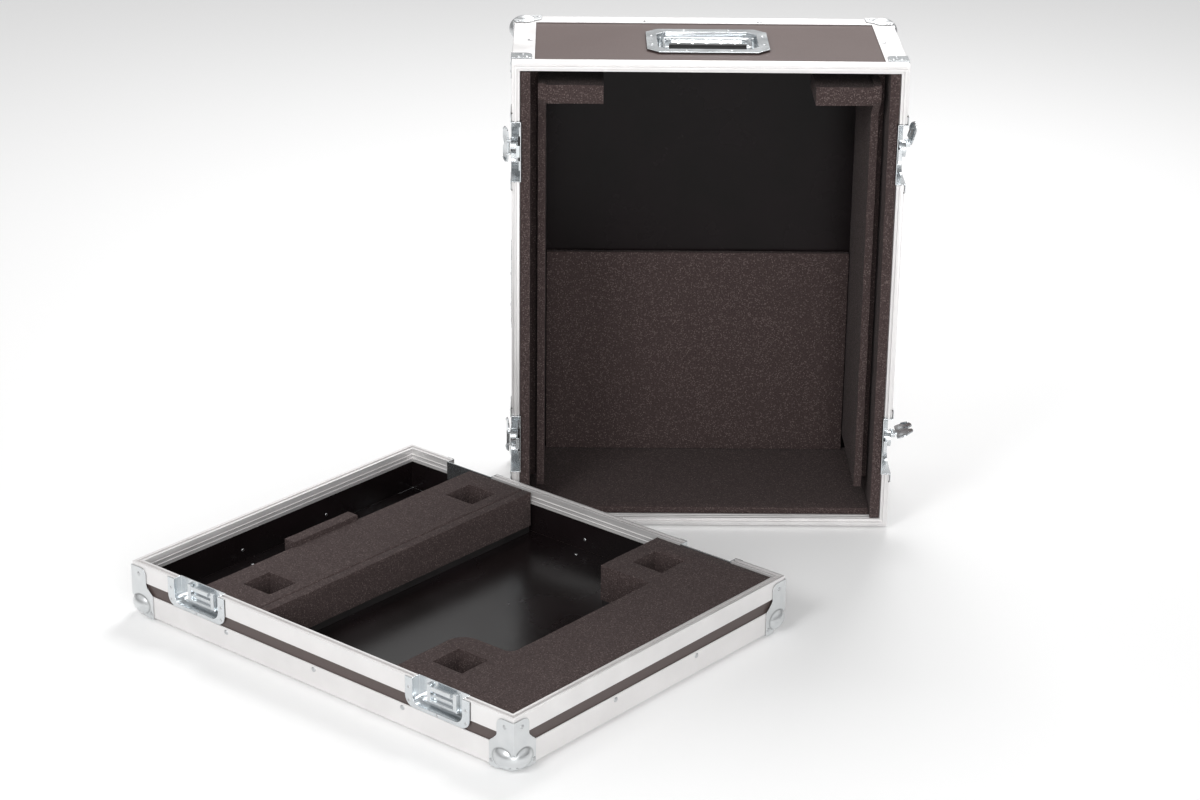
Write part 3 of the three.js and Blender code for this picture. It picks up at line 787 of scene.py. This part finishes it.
def legPlate(long, legWidth, top):
    # wide at the foot with an upright leg that climbs to the rim
    edge = -corner["skin"]
    foot = corner["ballFoot"]
    rounding = 9 * mm
    return [
        (edge, foot), (foot, edge), (long, edge), (long, 29 * mm),
        *arcPoints((long - 4 * mm, 29 * mm), 4 * mm, 0, 50, 3),
        (legWidth + 1.5 * mm, 40 * mm), (legWidth, 43 * mm), (legWidth, top - rounding),
        *arcPoints((legWidth - rounding, top - rounding), rounding, 0, 90, 5), (edge, top)]


def cornerBall(radii, centre):
    # a slightly flattened sphere; its inner part slides along the diagonal,
    # onto three planes within the boards
    rows, columns = 48, 64
    polar = np.linspace(0, np.pi, rows)[:, None]
    turn = (np.arange(columns) * 2 * np.pi / columns)[None, :]
    ball = np.stack([
        np.sin(polar) * np.cos(turn), np.sin(polar) * np.sin(turn),
        np.broadcast_to(np.cos(polar), (rows, columns))], axis=-1).reshape(-1, 3)
    points = ball * radii + centre
    deep = np.clip(points.min(axis=1, keepdims=True) - corner["seat"], 0, None)
    return points - deep, gridFaces(rows, columns, wrapColumns=True).tolist()


def paintCreaseShade(mesh, radii, centre):
    # painted shade along the crease: strongest where the ball meets the plates' outer face, and fading within
    # about a millimetre
    points = meshPoints(mesh)
    fromBall = (np.linalg.norm((points - centre) / radii, axis=1) - 1) * radii[0]
    above = -corner["skin"] - points.min(axis=1)
    crease = np.exp(-(fromBall / (0.8 * mm)) ** 2 - (above / (0.8 * mm)) ** 2)
    crease *= np.sort(points, axis=1)[:, 1] > 3 * mm
    creaseShadeMask = mesh.attributes.new("crease", "FLOAT", "POINT")
    creaseShadeMask.data.foreach_set("value", 0.6 * crease)


def pressedCorner(name, ballShape, sideOutline, faceOutline):
    # the ball and its three plates, remeshed into one skin and smoothed so that they flow together
    mesh = bpy.data.meshes.new(name)
    points, faces = [], []
    parts = [cornerBall(*ballShape)] + [plateSlab(sideOutline, axis) for axis in (0, 1)]\
        + [plateSlab(faceOutline, 2)]
    for partPoints, partFaces in parts:
        start = len(points)
        points.extend(np.asarray(partPoints).tolist())
        faces.extend([[i + start for i in face] for face in partFaces])
    mesh.from_pydata(points, [], faces)
    tidyNormals(mesh)
    holder = bpy.data.objects.new(name, mesh)
    bpy.context.scene.collection.objects.link(holder)
    remesh = holder.modifiers.new("oneSkin", "REMESH")
    remesh.mode = "VOXEL"
    remesh.voxel_size = corner["voxel"]
    smooth = holder.modifiers.new("flow", "SMOOTH")
    smooth.factor = 0.5
    smooth.iterations = corner["rounds"]
    graph = bpy.context.evaluated_depsgraph_get()
    result = bpy.data.meshes.new_from_object(holder.evaluated_get(graph))
    bpy.data.objects.remove(holder)
    paintCreaseShade(result, *ballShape)
    return result


cornerSigns = ((-1, -1), (1, -1), (1, 1), (-1, 1))


def cornerMatrix(half, turn):
    # mirrored from corner to corner, so that each direction still points into the case
    signX, signY = cornerSigns[turn]
    inward = axesMatrix((signX * halfWidth, signY * halfLength, 0), (-signX, 0, 0), (0, -signY, 0), (0, 0, 1))
    return halves[half] @ inward


cornerNames = ("left_low", "right_low", "right_high", "left_high")


def addBallCorners():
    even = simplePlate(38 * mm)
    masters = {
        "tray": pressedCorner("trayCorner", corner["trayBall"], legPlate(38 * mm, 26 * mm, 65.5 * mm), even),
        "cover": pressedCorner("coverCorner", corner["coverBall"], even, even),
    }
    for half, master in masters.items():
        for turn, place in enumerate(cornerNames):
            node = f"{half}_ball_corner_{place}"
            mesh = master.copy()
            setPoints(mesh, moved(meshPoints(master), cornerMatrix(half, turn)))
            if cornerSigns[turn][0] != cornerSigns[turn][1]:
                mesh.flip_normals()
            piece = bpy.data.objects.new(node + "_pressed", mesh)
            finishPiece(piece, "corner", half, (node,), sharp=60)
        bpy.data.meshes.remove(master)


def cornerRivets(half):
    spots = []
    lift = 1.3 * mm
    marks = [(0, (33, 7)), (1, (33, 7)), (2, (33, 7)), (2, (7, 33)), (0, (7, 33)), (1, (7, 33))]
    if half == "tray":
        marks = [(0, (34, 6)), (1, (34, 6)), (2, (33, 7)), (2, (7, 33)), (0, (13, 56)), (1, (13, 56))]
    for turn in range(4):
        matrix = np.linalg.inv(halves[half]) @ cornerMatrix(half, turn)
        for axis, (first, second) in marks:
            place = np.zeros(3)
            others = [i for i in range(3) if i != axis]
            place[axis] = -lift
            place[others[0]] = first * mm
            place[others[1]] = second * mm
            normal = np.zeros(3)
            normal[axis] = -1
            spots.append((moved(place, matrix), matrix[:3, :3] @ normal))
    return spots


addBallCorners()
for half in halves:
    addRivets(f"{half}_corner_rivets", half, half, cornerRivets(half), 0.85)
print("ball corners pressed")

# ---- corner braces at the cover's opening ----

brace = {"reach": 27 * mm, "length": 27 * mm, "lift": 0.35 * mm, "thickness": 1.1 * mm}


def braceSurface(signX, signY):
    # a strip carried round the case's edge: s runs across the bend and t along the case's depth,
    # and the far corners are rounded by shortening t with a quarter circle
    s = np.linspace(-1, 1, 41)
    t = np.linspace(0, 1, 13)
    run = s * brace["reach"]
    rounding = 9 * mm
    past = np.clip((np.abs(run) - (brace["reach"] - rounding)) / rounding, 0, 1)
    shortened = rounding * (1 - np.sqrt(np.maximum(1 - past ** 2, 0)))
    start = case["coverDepth"] - case["rimLeg"] - brace["length"]
    end = case["coverDepth"] - case["rimLeg"] + 0 * t
    depth = start + shortened[:, None] * (1 - t)[None, :] + brace["length"] * t[None, :]
    outX = halfWidth + brace["lift"] - np.clip(run, 0, None)
    outY = halfLength + brace["lift"] + np.clip(run, None, 0)
    points = np.stack([
        np.broadcast_to((signX * outX)[:, None], depth.shape),
        np.broadcast_to((signY * outY)[:, None], depth.shape), depth], axis=-1).reshape(-1, 3)
    return moved(points, coverHalf), gridFaces(41, 13)


def addBraces():
    for signX, side in ((-1, "left"), (1, "right")):
        for signY, level in ((-1, "low"), (1, "high")):
            name = f"cover_brace_{side}_{level}"
            points, faces = braceSurface(signX, signY)
            piece = addSurface(name, points, faces, "zinc", "cover")
            middle = moved((0, 0, case["coverDepth"] / 2), coverHalf)
            mesh = piece.data
            centre = np.array(meshPoints(mesh)).mean(axis=0)
            outward = Vector(centre - middle)
            if sum((p.normal.dot(outward) for p in mesh.polygons)) < 0:
                mesh.flip_normals()
            shell = piece.modifiers.new("sheet", "SOLIDIFY")
            shell.thickness = brace["thickness"]
            shell.offset = 1
            shell.use_even_offset = True
            addBevel(piece, 0.35 * mm, 2, 50)


def braceRivets():
    spots = []
    depth = case["coverDepth"] - case["rimLeg"]
    lift = brace["lift"] + brace["thickness"] - 0.1 * mm
    for signX in (-1, 1):
        for signY in (-1, 1):
            for reach, back in ((8, 7), (19, 7), (14, 18)):
                z = depth - back * mm
                spots.append((
                    (signX * (halfWidth - reach * mm), signY * (halfLength + lift), z), (0, signY, 0)))
                spots.append((
                    (signX * (halfWidth + lift), signY * (halfLength - reach * mm), z), (signX, 0, 0)))
    return spots


addBraces()
addRivets("cover_brace_rivets", "cover", "cover", braceRivets(), 0.62)
print("braces set")

# ---- latches and catches ----

latchRest = {
    "left_upper": (0, 14),
    "left_lower": (0, 4),
    "right_upper": (-90, 160),
    "right_lower": (-90, 108),
}
wing = {
    "half": 23 * mm,
    "long": 28 * mm,
    "clear": 3.8 * mm,
    "sheet": 1.5 * mm,
    "curl": 1.1 * mm,  # more than this and the open leaf cuts the dish
    "dent": 0.9 * mm,
}


def turnedFrame(angle, axis):
    c, s = math.cos(angle), math.sin(angle)
    if axis == "x":
        return np.array([[1, 0, 0, 0], [0, c, -s, 0], [0, s, c, 0], [0, 0, 0, 1.0]])
    return np.array([[c, -s, 0, 0], [s, c, 0, 0], [0, 0, 1, 0], [0, 0, 0, 1.0]])


def shifted(x, y, z):
    matrix = np.eye(4)
    matrix[:3, 3] = (x, y, z)
    return matrix


def wingFrame(place):
    side, level = place.split("_")
    sign = -1 if side == "left" else 1
    face = latchFace("cover", sign, latchY if level == "upper" else -latchY)
    hub, fold = latchRest[place]
    return (
        face @ shifted(0, -32 * mm, 0) @ turnedFrame(math.radians(hub), "z")
        @ shifted(0, 8 * mm, 5 * mm) @ turnedFrame(-math.radians(fold), "x"))


def wingLeaf():
    # u runs along the wing and v away from its hinge; the free edge is two lobes with a waist between them,
    # the ends are rounded, the rim curls up, and a shallow dent is pressed in each lobe
    u = np.linspace(-1, 1, 65)[:, None]
    v = np.linspace(0, 1, 25)[None, :]
    reach = wing["long"] - wing["clear"]
    lobes = 1 - 0.30 * np.exp(-(u / 0.22) ** 2)
    ends = (1 - np.abs(u) ** 5) ** 0.5 * 0.42 + 0.58
    y = -wing["clear"] - reach * v * lobes * ends
    x = wing["half"] * (u + 0 * v) * (1 - 0.16 * (v - 0.45) ** 2 / 0.3)
    curl = wing["curl"] * (np.abs(u) ** 4 * 0.6 + v ** 4)
    dent = wing["dent"] * np.exp(-(((np.abs(u) - 0.52) / 0.22) ** 2 + ((v - 0.5) / 0.26) ** 2))
    z = curl - dent - 0.35 * mm
    return np.stack(np.broadcast_arrays(x, y, z), axis=-1).reshape(-1, 3), gridFaces(65, 25)


def barrelAlongX(radius, low, high, sides=20, y=0.0, z=0.0, chamfer=0.4 * mm):
    # a profile of a chamfered rod turned about the x axis, closed at both ends
    x = np.array([low, low, low + chamfer, high - chamfer, high, high])
    r = np.array([1e-7, radius - chamfer, radius, radius, radius - chamfer, 1e-7])
    turn = np.arange(sides) * 2 * np.pi / sides
    points = np.stack([
        np.broadcast_to(x[:, None], (6, sides)), y + r[:, None] * np.cos(turn), z + r[:,
        None] * np.sin(turn)], axis=-1)
    return points.reshape(-1, 3), gridFaces(6, sides, wrapColumns=True)


def addWing(place):
    node = f"latch_{place}_wing"
    matrix = wingFrame(place)
    points, faces = wingLeaf()
    mesh = bpy.data.meshes.new(node + "_leaf")
    mesh.from_pydata(points.tolist(), [], faces.tolist())
    work = bmesh.new()
    work.from_mesh(mesh)
    bmesh.ops.solidify(work, geom=list(work.faces), thickness=wing["sheet"])
    bmesh.ops.recalc_face_normals(work, faces=work.faces)
    work.to_mesh(mesh)
    work.free()
    leafPoints = meshPoints(mesh)
    setPoints(mesh, moved(leafPoints, matrix))
    leaf = bpy.data.objects.new(node + "_leaf", mesh)
    finishPiece(leaf, "zinc", bodyOf[node], (node,), sharp=60)
    addBevel(leaf, 0.5 * mm, 2, 50)
    rodPoints, rodFaces = barrelAlongX(2.2 * mm, -7.6 * mm, 7.6 * mm)
    neckX = np.array([-5.0, 5.0]) * mm
    rod = addSurface(
        node + "_barrel", moved(rodPoints, matrix), rodFaces, "zinc", bodyOf[node])
    neckLow = np.array([neckX[0], -5.2 * mm, -1.2 * mm])
    neckHigh = np.array([neckX[1], -0.6 * mm, 0.8 * mm])
    addSurface(
        node + "_neck", moved(boxPoints(neckLow, neckHigh), matrix), boxFaces,
        "zinc", bodyOf[node])
    return leaf, rod


latchTrim = {  # opposite corners in millimetres, in the latch's own frame
    "gaps": (("low", -52.9), ("high", 52.1)),
    "gapWidth": 0.8,
    "shadeBlock": ((-16, -50, -11.3), (16, -15, -8.6)),
    "plateLow": ((-30, -52, -11.2), (-17, -16, -9.4)),
    "plateHigh": ((17, -52, -11.2), (30, -16, -9.4)),
}


def addGaps(name, face, body):
    # the dark saw cuts where the rim ends beside the dish
    for side, x in latchTrim["gaps"]:
        addBlock(
            f"{name}_gap_{side}", (x, -24, -1.2), (x + latchTrim["gapWidth"], -1.2, 0.25), face,
            "riser", body, "edge_aluminium", 0.1 * mm)


def addLatches():
    for place in latchRest:
        side, level = place.split("_")
        sign = -1 if side == "left" else 1
        face = latchFace("cover", sign, latchY if level == "upper" else -latchY)
        name = f"latch_{place}"
        softened(name + "_dish", "zinc", 0.5 * mm, 2, 40)
        softened(name + "_hub", "zinc", 0.5 * mm, 2, 40)
        softened(name + "_hook", "zinc", 0.3 * mm, 2, 40)
        addWing(place)
        # a black block behind the hub: painted shade for the dark inside of the dish
        addBlock(name + "_painted_shade_block", *latchTrim["shadeBlock"], face, "riser", "cover", "plated_steel")
        addGaps(name, face, "cover")
        # the cam's cover plate, pressed up round the spindle
        addBlock(name + "_plate_low", *latchTrim["plateLow"], face, "zinc", "cover", "plated_steel")
        addBlock(name + "_plate_high", *latchTrim["plateHigh"], face, "zinc", "cover", "plated_steel")


def addCatches():
    for side, sign in (("left", -1), ("right", 1)):
        for level, y in (("lower", -latchY), ("upper", latchY)):
            face = latchFace("tray", sign, y)
            name = f"tray_catch_{side}_{level}"
            softened(name, "zinc", 0.5 * mm, 2, 40)
            addGaps(name, face, "tray")
            # a slotted keeper plate behind the lip
            for part, low, high in (
                ("left_bar", (-24, -28, -11), (-18, -5, -6.5)), ("right_bar", (18, -28, -11), (24, -5, -6.5)),
                ("foot", (-24, -30, -11), (24, -26, -7.5)), ("rib", (-16, -20, -11), (16, -17.5, -8))):
                addBlock(f"{name}_{part}", low, high, face, "zinc", "tray", "plated_steel")


def dishRivets(half):
    spots = []
    height = 39 if half == "tray" else 65
    back = np.linalg.inv(halves[half])
    for sign in (-1, 1):
        for y in (-latchY, latchY):
            matrix = back @ latchFace(half, sign, y)
            marks = [(-46, -14), (46, -14), (-46, 8 - height), (46, 8 - height), (0, 2.6 - height)]
            for x, up in marks:
                spots.append((moved((x * mm, up * mm, 1.4 * mm), matrix), matrix[:3, 2]))
    return spots


addLatches()
addCatches()
for half in halves:
    addRivets(f"{half}_dish_rivets", half, half, dishRivets(half), 0.6)
print("latches and catches finished")

# ---- spring handles ----

handle = {
    "hinge": (30 * mm, -5 * mm),
    "arm": 46 * mm,
    "gripHalf": 53 * mm,
    "gripRadius": 6 * mm,
    "armHalf": 58.2 * mm,
    "rod": 2.3 * mm,
}


def tubeAlong(path, radius, sides=14):
    # a circle carried along a path that lies in the plane z = constant
    path = np.asarray(path, float)
    ahead = np.gradient(path, axis=0)
    ahead /= np.linalg.norm(ahead, axis=1, keepdims=True)
    side = np.stack([-ahead[:, 1], ahead[:, 0], 0 * ahead[:, 0]], axis=1)
    turn = np.arange(sides) * 2 * np.pi / sides
    rings = (
        path[:, None, :] + radius * np.cos(turn)[None, :, None] * side[:, None, :]
        + radius * np.sin(turn)[None, :, None] * np.array([0, 0, 1.0]))
    closed = np.concatenate([path[:1, None, :] + 0 * rings[:1], rings, path[-1:, None, :] + 0 * rings[:1]])
    return closed.reshape(-1, 3), gridFaces(len(path) + 2, sides, wrapColumns=True)


def roundedPath(corners, radius, steps=7):
    # straight runs joined by quarter turns
    corners = [np.array(corner, float) for corner in corners]
    path = [corners[0]]
    for before, here, after in zip(corners, corners[1:], corners[2:]):
        into = (here - before) / np.linalg.norm(here - before)
        out = (after - here) / np.linalg.norm(after - here)
        centre = here - into * radius + out * radius
        for t in np.linspace(0, math.pi / 2, steps):
            path.append(centre - out * radius * math.cos(t) + into * radius * math.sin(t))
    path.append(corners[-1])
    return np.array(path)


def sleeveSurface():
    # a rubber sleeve: a rod profile with soft ends and shallow grooves, turned about the x axis
    half, radius = handle["gripHalf"], handle["gripRadius"]
    t = np.linspace(-1, 1, 90)
    ends = np.clip((1 - np.abs(t)) / 0.03, 0, 1)
    r = radius * (0.78 + 0.22 * np.sqrt(1 - (1 - ends) ** 2)) - 0.12 * mm * (np.cos(t * 60) > 0.9)
    r[0] = 1e-7
    r[-1] = 1e-7
    turn = np.arange(28) * 2 * np.pi / 28
    x = np.concatenate([[t[1]], t[1:-1], [t[-2]]]) * half
    points = np.stack([
        np.broadcast_to(x[:, None], (90, 28)), r[:, None] * np.cos(turn), r[:, None] * np.sin(turn)], axis=-1)
    return points.reshape(-1, 3), gridFaces(90, 28, wrapColumns=True)


def addHandle(place):
    face = handleFace(place)
    node = f"handle_{place}_grip"
    body = bodyOf[node]
    hinge = face @ shifted(0, *handle["hinge"])
    reach, half = -handle["arm"], handle["armHalf"]
    loop = roundedPath([
        (-50 * mm, reach, 0), (-half, reach, 0), (-half, 0, 0), (half, 0, 0), (half, reach, 0),
        (50 * mm, reach, 0)],
        4 * mm)
    rodPoints, rodFaces = tubeAlong(loop, handle["rod"])
    addSurface(node + "_bail", moved(rodPoints, hinge), rodFaces, "zinc", body, sharp=60)
    sleeve, sleeveFaces = sleeveSurface()
    grip = moved(sleeve + np.array([0, reach, 0]), hinge)
    addSurface(node + "_sleeve", grip, sleeveFaces, "gripRubber", body, (node,))
    softened(f"handle_{place}_dish", "zinc", 0.6 * mm, 3, 25)
    addSpringCover(place, face)


def addSpringCover(place, face):
    # a rolled cover over the spring: half a round across, with bands along it
    rows, columns = 140, 17
    x = np.linspace(-47.5, 47.5, rows)[:, None] * mm
    turn = np.linspace(0, np.pi, columns)[None, :]
    band = 1.3 * mm * (np.cos(x / mm / 9.5 * np.pi) > 0.9)
    y = 23 * mm - 12.4 * mm * np.cos(turn) + 0 * x
    z = -8.4 * mm + (4.6 * mm - band) * np.sin(turn)
    points = np.stack(np.broadcast_arrays(x, y, z), axis=-1).reshape(-1, 3)
    piece = addSurface(
        f"handle_{place}_spring_cover", moved(points, face), gridFaces(rows, columns),
        "zinc", "cover")
    outward = Vector(face[:3, 2])
    if sum(p.normal.dot(outward) for p in piece.data.polygons) < 0:
        piece.data.flip_normals()
    shell = piece.modifiers.new("sheet", "SOLIDIFY")
    shell.thickness = 0.8 * mm
    shell.offset = -1


def handleRivets():
    spots = []
    back = np.linalg.inv(coverHalf)
    for place in ("top", "left", "right"):
        matrix = back @ handleFace(place)
        for x, y in ((-75, -22), (-75, 22), (75, -22), (75, 22), (-30, -53), (30, -53), (-30, 53), (30, 53)):
            spots.append((moved((x * mm, y * mm, 1.4 * mm), matrix), matrix[:3, 2]))
    return spots


for place in ("top", "left", "right"):
    addHandle(place)
addRivets("handle_rivets", "cover", "cover", handleRivets(), 0.7)
print("handles finished")

# ---- floor and light ----


def addFloor():
    mesh = bpy.data.meshes.new("studioFloor")
    size = 12.0
    mesh.from_pydata(
        [(-size, -size, 0), (size, -size, 0), (size, size, 0), (-size, size, 0)], [], [(0, 1, 2, 3)])
    material, tree, shader, place = newMaterial("paleFloor", 0.7)
    shader.inputs["Base Color"].default_value = (0.9, 0.9, 0.9, 1)
    shader.inputs["Specular IOR Level"].default_value = 0.2
    shader.inputs["Emission Color"].default_value = (1, 1, 1, 1)
    shader.inputs["Emission Strength"].default_value = 0.10
    mesh.materials.append(material)
    floor = bpy.data.objects.new("studioFloor", mesh)
    bpy.context.scene.collection.objects.link(floor)


lights = {
    "key": {"place": (-1.5, -2.2, 2.2), "target": (0.1, 0.2, 0.25), "size": 0.9, "power": 30},
    "behind": {"place": (0.5, 1.9, 2.3), "target": (0.0, 0.0, 0.0), "size": 1.0, "power": 36},
    "front": {"place": (0.5, -3.6, 1.3), "target": (0.1, 0.1, 0.3), "size": 1.6, "power": 50},
}


def addLights():
    for name, values in lights.items():
        data = bpy.data.lights.new(name, "AREA")
        data.shape = "SQUARE"
        data.size = values["size"]
        data.energy = values["power"]
        holder = bpy.data.objects.new(name, data)
        holder.location = values["place"]
        aim = Vector(values["target"]) - Vector(values["place"])
        holder.rotation_euler = aim.to_track_quat("-Z", "Y").to_euler()
        bpy.context.scene.collection.objects.link(holder)
    world = bpy.data.worlds.new("studioWorld")
    world.use_nodes = True
    tree = world.node_tree
    sky = tree.nodes["Background"]
    direction = tree.nodes.new("ShaderNodeTexCoord").outputs["Generated"]
    split = tree.nodes.new("ShaderNodeSeparateXYZ")
    tree.links.new(direction, split.inputs[0])
    ramp = tree.nodes.new("ShaderNodeValToRGB")
    tree.links.new(split.outputs[2], ramp.inputs[0])
    stops = ((0.0, 0.03), (0.10, 0.05), (0.32, 0.55), (0.55, 1.05), (0.85, 0.3))
    while len(ramp.color_ramp.elements) < len(stops):
        ramp.color_ramp.elements.new(0.5)
    for element, (place, level) in zip(ramp.color_ramp.elements, stops):
        element.position = place
        element.color = (level, level, level, 1)
    tree.links.new(ramp.outputs[0], sky.inputs["Color"])
    sky.inputs["Strength"].default_value = 0.95
    bpy.context.scene.world = world


addFloor()
addLights()
bpy.context.scene.view_settings.view_transform = "Standard"
print("floor and light set")
